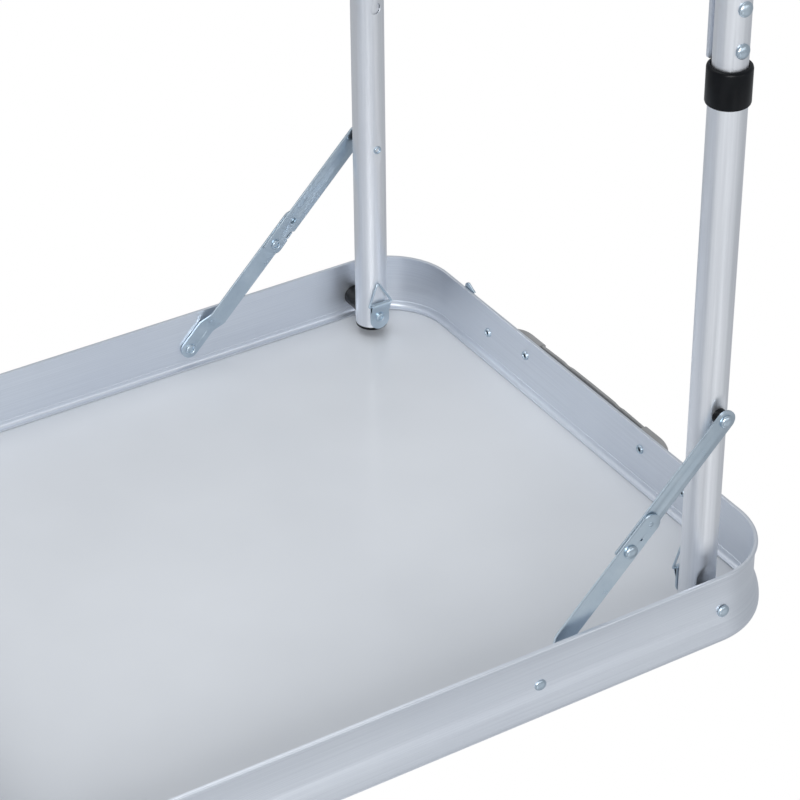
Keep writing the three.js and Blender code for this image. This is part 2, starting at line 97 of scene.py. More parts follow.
# ------------------------------------------------------------------ sizes the frame doesn't state
RIM_CORNER_R = 60 * MM
WEB_OUTER, WEB_INNER = 5 * MM, 6.4 * MM
BRACE_REACH = 150 * MM
STRAP_LENGTH = BRACE_REACH / sqrt(2)
STRAP_R = 7.5 * MM
STRAP_TAIL = 30 * MM  # lower strap past the knee
CRANK_START, CRANK_LENGTH = 20 * MM, 14 * MM
STRAP_T = 2 * MM
TUBE_WALL = 0.9 * MM
BUTTON_HOLE_Z = 256 * MM
BUTTON_HOLE_R = 4.6 * MM
CHANNEL_Z = 55 * MM  # middle of the crossbar's channel
LATCH_Y = 127 * MM
LATCH_Z = UNDERSIDE_Z - 25.5 * MM
STUD_Z = UNDERSIDE_Z - 40 * MM
HANDLE_Y = 75 * MM
HANDLE_Z = UNDERSIDE_Z - 32.5 * MM
PARKED = {"front": -57, "rear": 90}  # hooks' angles from straight down


# ------------------------------------------------------------------ outlines
def bezier(p0, p1, p2, p3, steps):
    """Points on a cubic curve, without its last one."""
    points = []
    for i in range(steps):
        t = i / steps
        weights = ((1 - t) ** 3, 3 * t * (1 - t) ** 2, 3 * t * t * (1 - t), t ** 3)
        points.append(tuple(sum(w * p[k] for w, p in zip(weights, (p0, p1, p2, p3))) for k in (0, 1)))
    return points


def arc(centre, radius, start, end, steps):
    """Points on an arc, both ends included. Angles in degrees."""
    angles = [radians(start + (end - start) * i / steps) for i in range(steps + 1)]
    return [(centre[0] + radius * cos(a), centre[1] + radius * sin(a)) for a in angles]


def circle(centre, radius, steps=24):
    return arc(centre, radius, 0, 360, steps)[:-1]


def rounded(corners, radii, steps=6):
    """A polygon with its corners turned, one radius for each corner."""
    points = []
    count = len(corners)
    for i, (corner, radius) in enumerate(zip(corners, radii)):
        c = Vector(corner)
        before = (Vector(corners[i - 1]) - c).normalized()
        after = (Vector(corners[(i + 1) % count]) - c).normalized()
        if radius <= 0:
            points.append(tuple(c))
            continue
        half = before.angle(after) / 2
        reach = radius * cos(half) / sin(half)
        middle = c + (before + after).normalized() * radius / sin(half)
        first = c + before * reach - middle
        last = c + after * reach - middle
        turn = first.angle_signed(last)
        for k in range(steps + 1):
            a = -turn * k / steps
            points.append((middle.x + first.x * cos(a) - first.y * sin(a),
                           middle.y + first.x * sin(a) + first.y * cos(a)))
    return points


def dense(values, low, high, step):
    """Sorted stations: the given ones, and one every step between low and high."""
    count = max(1, round((high - low) / step))
    added = [low + (high - low) * i / count for i in range(count + 1)]
    return sorted(set(round(v, 7) for v in [*values, *added]))


# ------------------------------------------------------------------ mesh helpers
def loft(rings, wrap=False, caps=True):
    """Quads between closed rings of points. wrap joins the last ring to the first."""
    bm = bmesh.new()
    rows = [[bm.verts.new(p) for p in ring] for ring in rings]
    pairs = list(zip(rows, rows[1:])) + ([(rows[-1], rows[0])] if wrap else [])
    for a, b in pairs:
        for i in range(len(a)):
            j = (i + 1) % len(a)
            bm.faces.new((a[i], a[j], b[j], b[i]))
    if caps and not wrap:
        bm.faces.new(rows[0][::-1])
        bm.faces.new(rows[-1])
    bmesh.ops.remove_doubles(bm, verts=bm.verts, dist=1e-7)
    bmesh.ops.recalc_face_normals(bm, faces=bm.faces)
    return bm


def turned(profile, segments=48, closed=False):
    """A solid of revolution about Z from (radius, z) points. closed joins the profile's two ends."""
    turns = [2 * pi * i / segments for i in range(segments)]
    rings = [[Vector((r * cos(a), r * sin(a), z)) for a in turns] for r, z in profile]
    return loft(rings, wrap=closed, caps=False)


def prism(outline, low, high):
    """An outline in XY, extruded from z = low to z = high."""
    return loft([[Vector((x, y, z)) for x, y in outline] for z in (low, high)])


def plate(outline, thickness, holes=(), bevel=0.25 * MM):
    """A flat plate about z = 0 with softened edges and real holes."""
    curve = bpy.data.curves.new("plate", "CURVE")
    curve.dimensions = "2D"
    curve.fill_mode = "BOTH"
    curve.extrude = thickness / 2 - bevel
    curve.bevel_depth = bevel
    curve.bevel_resolution = 1
    curve.offset = -bevel
    for loop in (outline, *holes):
        spline = curve.splines.new("POLY")
        spline.points.add(len(loop) - 1)
        for point, (x, y) in zip(spline.points, loop):
            point.co = (x, y, 0, 1)
        spline.use_cyclic_u = True
    holder = bpy.data.objects.new("plate", curve)
    bpy.context.scene.collection.objects.link(holder)
    bpy.context.view_layer.update()
    mesh = bpy.data.meshes.new_from_object(holder.evaluated_get(bpy.context.evaluated_depsgraph_get()))
    bm = bmesh.new()
    bm.from_mesh(mesh)
    bpy.data.objects.remove(holder)
    bpy.data.meshes.remove(mesh)
    bpy.data.curves.remove(curve)
    bmesh.ops.remove_doubles(bm, verts=bm.verts, dist=1e-6)
    bmesh.ops.recalc_face_normals(bm, faces=bm.faces)
    return bm


def slice_across(bm, positions, axis=(1, 0, 0)):
    """Adds edges across a mesh at these distances along an axis, so that it can be bent there."""
    for position in positions:
        geometry = [*bm.verts, *bm.edges, *bm.faces]
        place = Vector(axis) * position
        bmesh.ops.bisect_plane(bm, geom=geometry, plane_co=place, plane_no=Vector(axis), dist=1e-7)


def moved(bm, matrix):
    bm.transform(matrix)
    return bm


def joined(*parts):
    """One mesh of several, which may overlap."""
    total = bmesh.new()
    for part in parts:
        mesh = bpy.data.meshes.new("part")
        part.to_mesh(mesh)
        total.from_mesh(mesh)
        bpy.data.meshes.remove(mesh)
        part.free()
    return total


def boolean(body, tool, operation):
    """body cut by or kept inside tool, both closed meshes."""
    holders = []
    for bm in (body, tool):
        mesh = bpy.data.meshes.new("operand")
        bm.to_mesh(mesh)
        bm.free()
        holder = bpy.data.objects.new("operand", mesh)
        bpy.context.scene.collection.objects.link(holder)
        holders.append(holder)
    modifier = holders[0].modifiers.new("cut", "BOOLEAN")
    modifier.operation = operation
    modifier.object = holders[1]
    modifier.solver = "EXACT"
    bpy.context.view_layer.update()
    mesh = bpy.data.meshes.new_from_object(
        holders[0].evaluated_get(bpy.context.evaluated_depsgraph_get()))
    result = bmesh.new()
    result.from_mesh(mesh)
    bpy.data.meshes.remove(mesh)
    for holder in holders:
        bpy.data.objects.remove(holder)
    return result


def axes(x, y, z, origin=(0, 0, 0)):
    """A matrix from its three columns and its origin."""
    matrix = Matrix((x, y, z)).transposed().to_4x4()
    matrix.translation = Vector(origin)
    return matrix


def facing(direction, origin):
    """Turns +Z to a direction, and moves to a point."""
    turn = Vector((0, 0, 1)).rotation_difference(Vector(direction)).to_matrix().to_4x4()
    turn.translation = Vector(origin)
    return turn


# ------------------------------------------------------------------ materials
def linked(tree, kind, values=None, links=None, **settings):
    """A node with values on its sockets, links into them, and its own settings."""
    node = tree.nodes.new(kind)
    for key, value in settings.items():
        setattr(node, key, value)
    for key, value in (values or {}).items():
        node.inputs[key].default_value = value
    for key, socket in (links or {}).items():
        tree.links.new(socket, node.inputs[key])
    return node


def streaked_place(tree, along_scale, across_scale):
    """Coordinates that follow a bent extrusion: slow along it, fast across it."""
    along = linked(tree, "ShaderNodeAttribute", attribute_name="along")
    across = linked(tree, "ShaderNodeAttribute", attribute_name="across")
    slow = linked(tree, "ShaderNodeMath", {1: along_scale}, {0: along.outputs["Fac"]}, operation="MULTIPLY")
    fast = linked(tree, "ShaderNodeMath", {1: across_scale}, {0: across.outputs["Fac"]}, operation="MULTIPLY")
    return linked(tree, "ShaderNodeCombineXYZ", links={"X": slow.outputs[0], "Y": fast.outputs[0]}).outputs[0]


def object_place(tree, scale=(1, 1, 1)):
    coordinates = linked(tree, "ShaderNodeTexCoord")
    return linked(tree, "ShaderNodeMapping", {"Scale": scale},
                  {"Vector": coordinates.outputs["Object"]}).outputs[0]


def noise(tree, place, scale, detail=3, roughness=0.5):
    return linked(tree, "ShaderNodeTexNoise", {"Scale": scale, "Detail": detail, "Roughness": roughness},
                  {"Vector": place}).outputs["Fac"]


def spread(tree, value, low, high, start=0.3, end=0.7):
    """Maps a noise value to a range."""
    values = {"From Min": start, "From Max": end, "To Min": low, "To Max": high}
    return linked(tree, "ShaderNodeMapRange", values, {"Value": value}).outputs[0]


def two_tone(tree, value, first, second, start=0.3, end=0.7):
    ramp = linked(tree, "ShaderNodeValToRGB", links={"Fac": value})
    for element, position, color in zip(ramp.color_ramp.elements, (start, end), (first, second)):
        element.position = position
        element.color = (*color, 1)
    return ramp.outputs["Color"]


def mixed(tree, factor, first, second):
    """Blends two colour sockets by a factor socket or number."""
    node = linked(tree, "ShaderNodeMix", data_type="RGBA")
    sockets = {0: factor, 6: first, 7: second}
    for index, source in sockets.items():
        if isinstance(source, bpy.types.NodeSocket):
            tree.links.new(source, node.inputs[index])
        else:
            node.inputs[index].default_value = source
    return node.outputs[2]


def bumped(tree, bsdf, heights):
    """Stacks (height socket, strength, distance) bumps into the shader's normal."""
    normal = None
    for height, strength, distance in heights:
        links = {"Height": height}
        if normal is not None:
            links["Normal"] = normal
        bump = linked(tree, "ShaderNodeBump", {"Strength": strength, "Distance": distance}, links)
        normal = bump.outputs["Normal"]
    tree.links.new(normal, bsdf.inputs["Normal"])


def new_material(name, metallic, **sockets):
    material = bpy.data.materials.new(name)
    material.use_nodes = True
    bsdf = material.node_tree.nodes["Principled BSDF"]
    bsdf.inputs["Metallic"].default_value = metallic
    for key, value in sockets.items():
        bsdf.inputs[key.replace("_", " ")].default_value = value
    return material, material.node_tree, bsdf


def rim_aluminium():
    material, tree, bsdf = new_material("rim_aluminium", 1)
    place = streaked_place(tree, 1.2, 260)
    drawn = noise(tree, place, 5, 4, 0.65)
    clouds = noise(tree, object_place(tree), 9, 4)
    color = two_tone(tree, clouds, (0.7, 0.74, 0.81), (0.76, 0.8, 0.86))
    lines = two_tone(tree, drawn, (0.63, 0.67, 0.735), (0.82, 0.86, 0.91), 0.35, 0.65)
    tree.links.new(mixed(tree, 0.35, color, lines), bsdf.inputs["Base Color"])
    tree.links.new(spread(tree, drawn, 0.38, 0.5), bsdf.inputs["Roughness"])
    fine = noise(tree, object_place(tree), 900, 2)
    bumped(tree, bsdf, [(drawn, 0.12, 0.0002), (fine, 0.05, 0.0001)])
    return material


def tube_aluminium():
    material, tree, bsdf = new_material("tube_aluminium", 1)
    streaks = noise(tree, object_place(tree, (1, 1, 0.012)), 700, 3, 0.6)
    clouds = noise(tree, object_place(tree, (1, 1, 0.4)), 25, 3)
    color = two_tone(tree, clouds, (0.8, 0.825, 0.865), (0.86, 0.88, 0.915))
    lines = two_tone(tree, streaks, (0.7, 0.72, 0.76), (0.9, 0.92, 0.95), 0.35, 0.65)
    tree.links.new(mixed(tree, 0.25, color, lines), bsdf.inputs["Base Color"])
    tree.links.new(spread(tree, streaks, 0.38, 0.47), bsdf.inputs["Roughness"])
    bumped(tree, bsdf, [(streaks, 0.06, 0.0001)])
    return material


def white_board():
    material, tree, bsdf = new_material("white_board", 0, Coat_Weight=0.3, Coat_Roughness=0.12)
    clouds = noise(tree, object_place(tree), 5, 3)
    peel = noise(tree, object_place(tree), 420, 3, 0.55)
    color = two_tone(tree, clouds, (0.635, 0.66, 0.695), (0.695, 0.72, 0.755))
    tree.links.new(color, bsdf.inputs["Base Color"])
    tree.links.new(spread(tree, peel, 0.34, 0.46), bsdf.inputs["Roughness"])
    bumped(tree, bsdf, [(peel, 0.05, 0.0002)])
    return material


def zinc_steel():
    material, tree, bsdf = new_material("zinc_steel", 1)
    clouds = noise(tree, object_place(tree), 55, 4, 0.6)
    spangle = linked(tree, "ShaderNodeTexVoronoi", {"Scale": 260}, {"Vector": object_place(tree)})
    color = two_tone(tree, clouds, (0.45, 0.545, 0.63), (0.55, 0.64, 0.715))
    grains = two_tone(tree, spangle.outputs["Distance"], (0.46, 0.55, 0.62), (0.6, 0.68, 0.74), 0.1, 0.6)
    tree.links.new(mixed(tree, 0.08, color, grains), bsdf.inputs["Base Color"])
    tree.links.new(spread(tree, clouds, 0.27, 0.36), bsdf.inputs["Roughness"])
    scratches = noise(tree, object_place(tree, (1, 8, 1)), 300, 3, 0.7)
    bumped(tree, bsdf, [(scratches, 0.008, 0.0001)])
    return material


def moulded_plastic(name, dark, light, low, high, gloss):
    material, tree, bsdf = new_material(name, 0, Specular_IOR_Level=gloss)
    clouds = noise(tree, object_place(tree), 60, 3)
    grain = noise(tree, object_place(tree), 2200, 2, 0.6)
    tree.links.new(two_tone(tree, clouds, dark, light), bsdf.inputs["Base Color"])
    tree.links.new(spread(tree, grain, low, high), bsdf.inputs["Roughness"])
    bumped(tree, bsdf, [(grain, 0.12, 0.0001)])
    return material


MATERIALS = {
    "rim_aluminium": rim_aluminium(),
    "tube_aluminium": tube_aluminium(),
    "white_board": white_board(),
    "zinc_steel": zinc_steel(),
    "black_plastic": moulded_plastic("black_plastic", (0.002, 0.0025, 0.0035), (0.004, 0.005, 0.007),
                                     0.28, 0.4, 0.17),
    "grey_plastic": moulded_plastic("grey_plastic", (0.3, 0.3, 0.3), (0.36, 0.36, 0.36), 0.5, 0.62, 0.4),
}
NODE_SLOT = {part["node"]: part["material_slot"] for part in frame["record"]["subparts"]}


# ------------------------------------------------------------------ placing pieces
def emit(name, bm, slot, body, matrix=Matrix.Identity(4), sharp=32):
    """Copies a mesh into the scene through a matrix, which may mirror it, and lets it ride on a body."""
    work = bm.copy()
    work.transform(matrix)
    bmesh.ops.recalc_face_normals(work, faces=work.faces)
    for face in work.faces:
        face.smooth = True
    for edge in work.edges:
        edge.smooth = len(edge.link_faces) == 2 and edge.calc_face_angle() < radians(sharp)
    mesh = bpy.data.meshes.new(name)
    work.to_mesh(mesh)
    work.free()
    mesh.materials.append(MATERIALS[slot])
    piece = bpy.data.objects.new(name, mesh)
    bpy.context.scene.collection.objects.link(piece)
    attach(piece, body)
    return piece


def stand_in(node, bm, matrix=Matrix.Identity(4), sharp=32):
    """Shows a mesh in place of a CAD node."""
    body = frame["nodes"][node]["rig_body"]
    piece = emit(node + "_shape", bm, NODE_SLOT[node], body, matrix, sharp)
    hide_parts(node)
    return piece


HALF_MATRIX = {"right": Matrix.Identity(4), "left": Matrix.Rotation(pi, 4, "Z")}


def leg_matrix(side, end):
    x = 1 if side == "right" else -1
    y = 1 if end == "rear" else -1
    return axes((x, 0, 0), (0, -y, 0), (0, 0, 1), (x * LEG_X, y * LEG_Y, 0))


def on_legs(part, bm, sharp=32):
    """Shows a mesh, drawn in a leg's frame, in place of all four copies of a part."""
    for side in SIDES:
        for end in ENDS:
            stand_in(f"{part}_{side}_{end}", bm, leg_matrix(side, end), sharp)
    bm.free()


def extras_on_legs(name, bm, slot, body_name):
    """Adds a small piece, drawn in a leg's frame, to all four corners, on body_name(side, end)."""
    for side in SIDES:
        for end in ENDS:
            emit(f"{name}_{side}_{end}", bm, slot, body_name(side, end), leg_matrix(side, end))
    bm.free()


# ------------------------------------------------------------------ rivets
def rivet_head(radius, height):
    """A low dome with a thin upright rim, sitting on z = 0."""
    rim = 0.3 * height
    dome = [(radius * cos(radians(a)), rim + (height - rim) * sin(radians(a))) for a in range(0, 90, 12)]
    return turned([(0, 0), (radius, 0), *dome, (0, height)], 32)


def rivet_tail(radius, height):
    """The rolled end of a hollow rivet, with the pit in its middle."""
    bore = 0.5 * radius
    middle = (radius + bore) / 2
    half = (radius - bore) / 2
    roll = [(middle + half * cos(radians(a)), height * sin(radians(a))) for a in range(0, 181, 20)]
    return turned([(0, 0), (radius, 0), *roll[1:-1], (bore, 0.1 * height), (0, 0.05 * height)], 28)


def bar(radius, length):
    return turned([(0, 0), (radius, 0), (radius, length), (0, length)], 20)


# ------------------------------------------------------------------ trays
def rim_outline():
    """The extrusion's section as (in from the bullnose, down from the board's underside)."""
    u = WEB_OUTER / MM
    w = WEB_INNER / MM
    low = (UNDERSIDE_Z - FREE_EDGE_Z) / MM
    nose = bezier((4.4, -7), (1.6, -7), (0, -4.6), (0, -0.6), 8)
    flank = bezier((0, -0.6), (0, 6.5), (2.1, 11), (3.5, 15), 9)
    flank += bezier((3.5, 15), (4.3, 17.3), (u, 19), (u, 22), 5)
    bead = bezier((u, low - 4), (u, low - 2.9), (3.5, low - 3), (3.4, low - 1.5), 5)
    bead += bezier((3.4, low - 1.5), (3.4, low - 0.4), (3.9, low), (4.9, low), 4)
    rib = arc((w, 6.7), 0.45, 90, -90, 6)
    fillet = bezier((w, 4.6), (w, 2.8), (7.3, 1.8), (8.7, 1.8), 5)
    lips = [(9.7, 1.8), (10, 1.5), (10, 0.6), (9.7, 0.3), (w, 0.3), (w, -5.3), (9.7, -5.3), (10, -5.6),
            (10, -6.7), (9.7, -7)]
    points = nose + flank + bead + [(5, low), (w - 0.35, low), (w, low - 0.35)] + rib + fillet + lips
    return [(a * MM, b * MM) for a, b in points]


def rim_stations():
    """Points of the bullnose line with their outward direction and distance travelled."""
    r = RIM_CORNER_R
    far = HALF_LENGTH - r
    side = HALF_WIDTH - r
    line = [(HALF_GAP, -HALF_WIDTH, -90)]
    for centre_y, start in ((-side, -90), (side, 0)):
        for x, y in arc((far, centre_y), r, start, start + 90, 28):
            line.append((x, y, None))
    line.append((HALF_GAP, HALF_WIDTH, 90))
    stations = []
    travelled = 0
    for i, (x, y, angle) in enumerate(line):
        if angle is None:
            centre = Vector((far, side if y > 0 else -side))
            out = (Vector((x, y)) - centre).normalized()
        else:
            out = Vector((0, sin(radians(angle))))
        if i:
            travelled += (Vector((x, y)) - Vector(line[i - 1][:2])).length
        stations.append((Vector((x, y)), out, travelled))
    return stations


def rim():
    """The bent extrusion, open at both ends, with its hollow nose."""
    outer = rim_outline()
    hollow = [(3.4, -5), (1.5, -2.5), (1.4, 1), (2.2, 6), (3.7, 11), (5, 14.5), (5.1, -5)]
    hollow = [(a * MM, b * MM) for a, b in hollow]
    bm = bmesh.new()
    along = bm.verts.layers.float.new("along")
    across = bm.verts.layers.float.new("across")
    for outline in (outer, hollow):
        rows = []
        for place, out, travelled in rim_stations():
            row = []
            walked = 0
            for k, (u, v) in enumerate(outline):
                if k:
                    walked += (Vector((u, v)) - Vector(outline[k - 1])).length
                point = place - out * u
                vertex = bm.verts.new((point.x, point.y, UNDERSIDE_Z - v))
                vertex[along] = travelled
                vertex[across] = walked
                row.append(vertex)
            rows.append(row)
        for a, b in zip(rows, rows[1:]):
            for i in range(len(a)):
                j = (i + 1) % len(a)
                bm.faces.new((a[i], a[j], b[j], b[i]))
    bm.edges.ensure_lookup_table()
    for sign in (-1, 1):
        ends = [e for e in bm.edges if len(e.link_faces) == 1 and all(sign * v.co.y > 0 for v in e.verts)]
        bmesh.ops.triangle_fill(bm, use_beauty=True, edges=ends)
    return bm


def board_outline(inset, start):
    far = HALF_LENGTH - inset
    side = HALF_WIDTH - inset
    r = RIM_CORNER_R - inset
    points = [(start, -side)]
    points += arc((far - r, -side + r), r, -90, 0, 20) + arc((far - r, side - r), r, 0, 90, 20)
    return points + [(start, side)]


def mark_lines(bm):
    """Gives a straight extrusion along Y the attributes that its drawn lines follow."""
    along = bm.verts.layers.float.new("along")
    across = bm.verts.layers.float.new("across")
    for vertex in bm.verts:
        vertex[along] = vertex.co.y
        vertex[across] = vertex.co.z + vertex.co.x
    return bm


def centre_rail():
    """C-shaped rail that closes the tray, with a broad flange for the hinges."""
    low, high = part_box("centre_rail_right")
    wall = 1.4 * MM
    inner = low.x + wall
    lip = UNDERSIDE_Z - 0.3 * MM
    lip_end = 10 * MM
    board_seat = high.z - 1.7 * MM
    section = [
        (low.x, high.z), (lip_end, high.z), (lip_end, board_seat), (inner, board_seat),
        (inner, lip), (lip_end, lip), (lip_end, lip - wall), (inner, lip - wall),
        (inner, low.z + wall), (high.x, low.z + wall), (high.x, low.z), (low.x, low.z),
    ]
    radii = [0.6, 0.3, 0.3, 0.2, 0.2, 0.3, 0.3, 1.2, 1.2, 0.4, 0.4, 1]
    outline = rounded(section, [r * MM for r in radii], 4)
    return mark_lines(loft([[Vector((x, y, z)) for x, z in outline] for y in (low.y, high.y)]))


def build_trays():
    shapes = {
        "rim": rim(),
        "panel": prism(board_outline(7.8 * MM, BOARD_START_X), UNDERSIDE_Z, BOARD_TOP_Z),
        "centre_rail": centre_rail(),
        "crossbar": crossbar(),
    }
    for side in SIDES:
        for part, bm in shapes.items():
            stand_in(f"{part}_{side}", bm, HALF_MATRIX[side])


# ------------------------------------------------------------------ centre hinges
def hinge_leaf(owns_ends):
    """One leaf about y = 0, its knuckles round the axis at x = 0."""
    width = 60 * MM
    knuckle_r = 2.7 * MM
    knuckle_bore = 1.6 * MM
    leaf_start = 3.3 * MM
    high = hinge_high.z
    low = high - 1.5 * MM
    axis_z = hinge_low.z + knuckle_r
    outline = rounded([(leaf_start, -width / 2), (hinge_high.x, -width / 2), (hinge_high.x, width / 2),
                       (leaf_start, width / 2)], [0, 3 * MM, 3 * MM, 0])
    parts = [moved(plate(outline, high - low), Matrix.Translation((0, 0, (low + high) / 2)))]
    pitch = width / 5
    for i in range(0 if owns_ends else 1, 5, 2):
        start = -width / 2 + i * pitch + 0.15 * MM
        length = pitch - 0.3 * MM
        barrel = turned([(knuckle_bore, 0), (knuckle_r, 0), (knuckle_r, length), (knuckle_bore, length)],
                        28, True)
        parts.append(moved(barrel, facing((0, 1, 0), (0, start, axis_z))))
        neck = prism([(0.8 * MM, start), (3.8 * MM, start), (3.8 * MM, start + length),
                      (0.8 * MM, start + length)], low, high - 0.05 * MM)
        parts.append(neck)
    for x, y in ((16, -20), (9, 0), (16, 20)):
        parts.append(moved(rivet_head(2.8 * MM, 1.1 * MM), facing((0, 0, -1), (x * MM, y * MM, low))))
    if not owns_ends:
        pin_length = width + 3 * MM
        pin_r = 1.4 * MM
        pin_end_r = 1.2 * MM
        chamfer = 0.3 * MM
        pin = turned([(0, 0), (pin_end_r, 0), (pin_r, chamfer), (pin_r, pin_length - chamfer),
                      (pin_end_r, pin_length), (0, pin_length)], 20)
        parts.append(moved(pin, facing((0, 1, 0), (0, -pin_length / 2, axis_z))))
    return joined(*parts)


def build_hinges():
    for side in SIDES:
        leaf = hinge_leaf(side == "right")
        for end in ENDS:
            node = f"hinge_leaf_{side}_{end}"
            low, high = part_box(node)
            place = Matrix.Translation((0, (low.y + high.y) / 2, 0)) @ HALF_MATRIX[side]
            stand_in(node, leaf, place)
        leaf.free()


# ------------------------------------------------------------------ legs
def pressed(y, side, height, centre, reach, depth):
    """Flattens a tube's wall towards its axis near a rivet. side is -1 outside, 1 on the middle's side."""
    near = min(1.0, max(0.0, (reach - abs(height - centre)) / (0.45 * reach)))
    limit = TUBE_R - depth * near * near * (3 - 2 * near)
    over = side * y - limit
    return side * (limit + 0.12 * over) if over > 0 else y


def outer_tube():
    """Tube with its wall dished round the rivets, and the hole for the snap button."""
    brace_z = PIVOT_Z - BRACE_REACH
    # Each dent's side, middle height, reach up and down, and depth.
    dents = [(-1, PIVOT_Z, 30 * MM, 3.2 * MM), (-1, brace_z, 18 * MM, 1.3 * MM),
             (1, brace_z, 14 * MM, 0.5 * MM), (1, PIVOT_Z, 34 * MM, 1.2 * MM)]
    heights = dense([TUBE_BOTTOM_Z, TUBE_TOP_Z], PIVOT_Z - 40 * MM, PIVOT_Z + 6 * MM, 1.5 * MM)
    heights = dense(heights, brace_z - 24 * MM, brace_z + 24 * MM, 2 * MM)
    heights = dense(heights, TUBE_BOTTOM_Z, TUBE_TOP_Z, 12 * MM)
    segments = 72
    rings = []
    for radius, levels in ((TUBE_R, heights), (TUBE_R - TUBE_WALL, heights[::-1])):
        for z in levels:
            ring = []
            for i in range(segments):
                a = 2 * pi * i / segments
                x, y = TUBE_R * cos(a), TUBE_R * sin(a)
                for side, centre, reach, depth in dents:
                    y = pressed(y, side, z, centre, reach, depth)
                shrink = radius / TUBE_R
                ring.append(Vector((x * shrink, y * shrink, z)))
            rings.append(ring)
    tube = loft(rings, wrap=True)
    drill = moved(bar(BUTTON_HOLE_R, 20 * MM), facing((0, 1, 0), (0, 4 * MM, BUTTON_HOLE_Z)))
    return boolean(tube, drill, "DIFFERENCE")


def end_plug():
    r = TUBE_R
    z = TUBE_TOP_Z
    profile = [(0, z - 6 * MM), (r - 1.2 * MM, z - 6 * MM), (r - 1.2 * MM, z), (r, z + 0.1 * MM)]
    profile += arc((r - 1.6 * MM, z + 1.4 * MM), 1.6 * MM, 0, 80, 6)
    return turned([*profile, (0, z + 3.7 * MM)])


def inner_tube():
    outer, bore = INNER_TUBE_R, INNER_TUBE_R - TUBE_WALL
    low, high = inner_low.z, inner_high.z
    return turned([(bore, low), (outer, low), (outer, high), (bore, high)], 64, True)


def collar():
    """Sleeve pressed over the outer tube's end, with a lip that guides the inner tube."""
    low, high = collar_low.z, collar_high.z
    r = (collar_high.x - collar_low.x) / 2
    lip_r, bore_r, lip_top = 11.7 * MM, 12.75 * MM, low + 3.4 * MM
    profile = [(lip_r, low + 0.4 * MM), (12.1 * MM, low), (r - 1.9 * MM, low),
               (r - 1 * MM, low + 0.25 * MM), (r - 0.3 * MM, low + 0.9 * MM), (r, low + 2 * MM),
               (r, high - 1.4 * MM), (r - 0.3 * MM, high - 0.5 * MM), (r - 1 * MM, high), (13 * MM, high),
               (bore_r, high - 0.3 * MM), (bore_r, lip_top), (lip_r, lip_top)]
    return turned(profile, 64, True)


def foot():
    """Rubbery cap with three shallow grooves and a chamfered sole."""
    high = foot_high.z
    r = 13.4 * MM
    profile = [(0, 0), (10.6 * MM, 0), (11.6 * MM, 0.25 * MM), (13 * MM, 1.8 * MM), (r, 2.8 * MM)]
    for z in (5 * MM, 7.2 * MM, 9.4 * MM):
        profile += [(r, z), (r - 0.5 * MM, z + 0.35 * MM), (r - 0.5 * MM, z + 0.75 * MM), (r, z + 1.1 * MM)]
    profile += [(r, high - 2.2 * MM), (13 * MM, high - 0.8 * MM), (12.3 * MM, high), (11.7 * MM, high),
                (11.5 * MM, high - 0.3 * MM), (11.5 * MM, 3.2 * MM), (0, 3.2 * MM)]
    return turned(profile, 56)


def snap_button():
    """Button on one end of a V-shaped leaf spring."""
    z = inner_high.z - 10 * MM
    spring_path = [(8.5, 6), (8.5, -8), (0.4, -45), (-7.6, -8), (-7.6, 6)]
    outer = [(y * MM, z + h * MM) for y, h in spring_path]
    leaf = []
    for side in (-0.4 * MM, 0.4 * MM):
        leaf.append([(y + side * (1 if y > 0 else -1), h - side) for y, h in outer])
    section = leaf[1] + leaf[0][::-1]
    spring = loft([[Vector((x, y, h)) for y, h in section] for x in (-3.5 * MM, 3.5 * MM)])
    button = turned([(0, 0), (3.9 * MM, 0), (3.9 * MM, 1.8 * MM), (3.4 * MM, 2.4 * MM), (0, 2.6 * MM)], 28)
    return joined(spring, moved(button, facing((0, 1, 0), (0, 8.5 * MM, z))))


def crossbar():
    """Channel with rounded corners between two riveted end plates, in the right half's frame."""
    middle = (bar_low.z + bar_high.z) / 2
    wall = 1.4
    corners = [(-7, 20), (7, 20), (7, -20), (-7, -20), (-7, wall - 20), (7 - wall, wall - 20),
               (7 - wall, 20 - wall), (-7, 20 - wall)]
    radii = [0.5, 2.5, 2.5, 0.5, 0.5, 1.2, 1.2, 0.5]
    section = rounded([(x * MM, z * MM) for x, z in corners], [r * MM for r in radii], 5)
    reach = bar_high.y - 1 * MM
    channel = loft([[Vector((LEG_X + x, y, CHANNEL_Z + z)) for x, z in section] for y in (-reach, reach)])
    half_x, half_z = (bar_high.x - bar_low.x) / 2, (bar_high.z - bar_low.z) / 2
    flange = rounded([(-half_x, -half_z), (half_x, -half_z), (half_x, half_z), (-half_x, half_z)],
                     [2 * MM] * 4)
    ends = []
    for sign in (-1, 1):
        bm = plate(flange, 2.5 * MM, bevel=0.4 * MM)
        ends.append(moved(bm, axes((1, 0, 0), (0, 0, 1), (0, -1, 0),
                                   (LEG_X, sign * (bar_high.y - 1.25 * MM), middle))))
    return mark_lines(joined(channel, *ends))


def pivot_rivet():
    """Domed head on the rim's flank, shank through the spacer and tube, rolled end on the ring's strap."""
    seat = -RIM_INSET + 4.3 * MM
    tail = 13.2 * MM
    head = moved(rivet_head(4.6 * MM, 2.2 * MM), facing((0, -1, 0), (0, seat, PIVOT_Z)))
    shank = moved(bar(2.5 * MM, tail - seat), facing((0, 1, 0), (0, seat, PIVOT_Z)))
    end = moved(rivet_tail(4 * MM, 1.7 * MM), facing((0, 1, 0), (0, tail, PIVOT_Z)))
    return joined(head, shank, end)


def pivot_spacer():
    start = -RIM_INSET + WEB_INNER + 0.1 * MM
    end = -TUBE_R + 2.2 * MM
    length = end - start
    r = 8.4 * MM
    edge = 0.4 * MM
    profile = [(0, 0), (r - edge, 0), (r, edge), (r, length - edge), (r - edge, length), (0, length)]
    return moved(turned(profile, 40), facing((0, 1, 0), (0, start, PIVOT_Z)))


